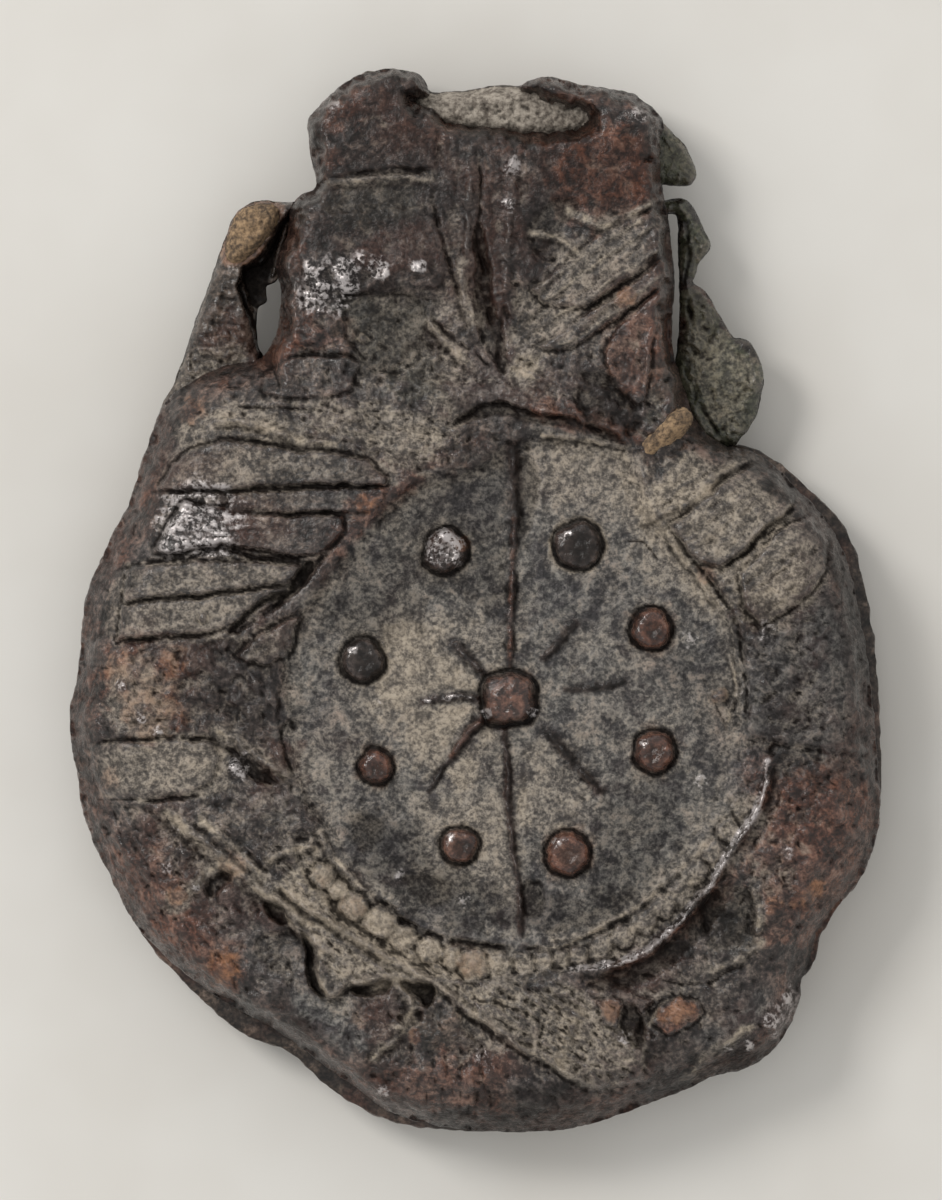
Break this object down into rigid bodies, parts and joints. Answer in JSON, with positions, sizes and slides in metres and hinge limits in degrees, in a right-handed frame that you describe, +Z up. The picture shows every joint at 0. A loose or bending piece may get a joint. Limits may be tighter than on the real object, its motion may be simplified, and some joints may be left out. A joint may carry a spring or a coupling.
{
  "type": "pilgrim ampulla",
  "caption": "Flat cast-lead pilgrim flask with a pinched neck, a strap handle beside it and a beaded wheel roundel on its face, corroded and soil-stained from the ground.",
  "frame": {"origin": "on the surface that the flask lies on, under the middle of its outline", "axes": "+Z up out of the decorated face, +Y towards the mouth, +X to the viewer's right when the face is seen with the mouth up"},
  "size_m": [0.0382, 0.05, 0.0087],
  "materials": {
    "front_lead": "corroded lead, semi-gloss on worn high points",
    "back_lead": "corroded lead, dull",
    "handle_lead": "corroded lead, dull grey-brown",
    "broken_lead": "corroded lead, grey-green crust",
    "grey_soil": "packed silt, matt",
    "ochre_soil": "iron-stained crust, matt"
  },
  "bodies": {
    "root": {"front_wall": "front_lead", "back_wall": "back_lead", "left_handle": "handle_lead", "right_handle_stub": "broken_lead", "right_handle_flap": "broken_lead", "mouth_soil": "grey_soil", "handle_soil": "ochre_soil", "shoulder_soil": "ochre_soil"}
  },
  "joints": []
}
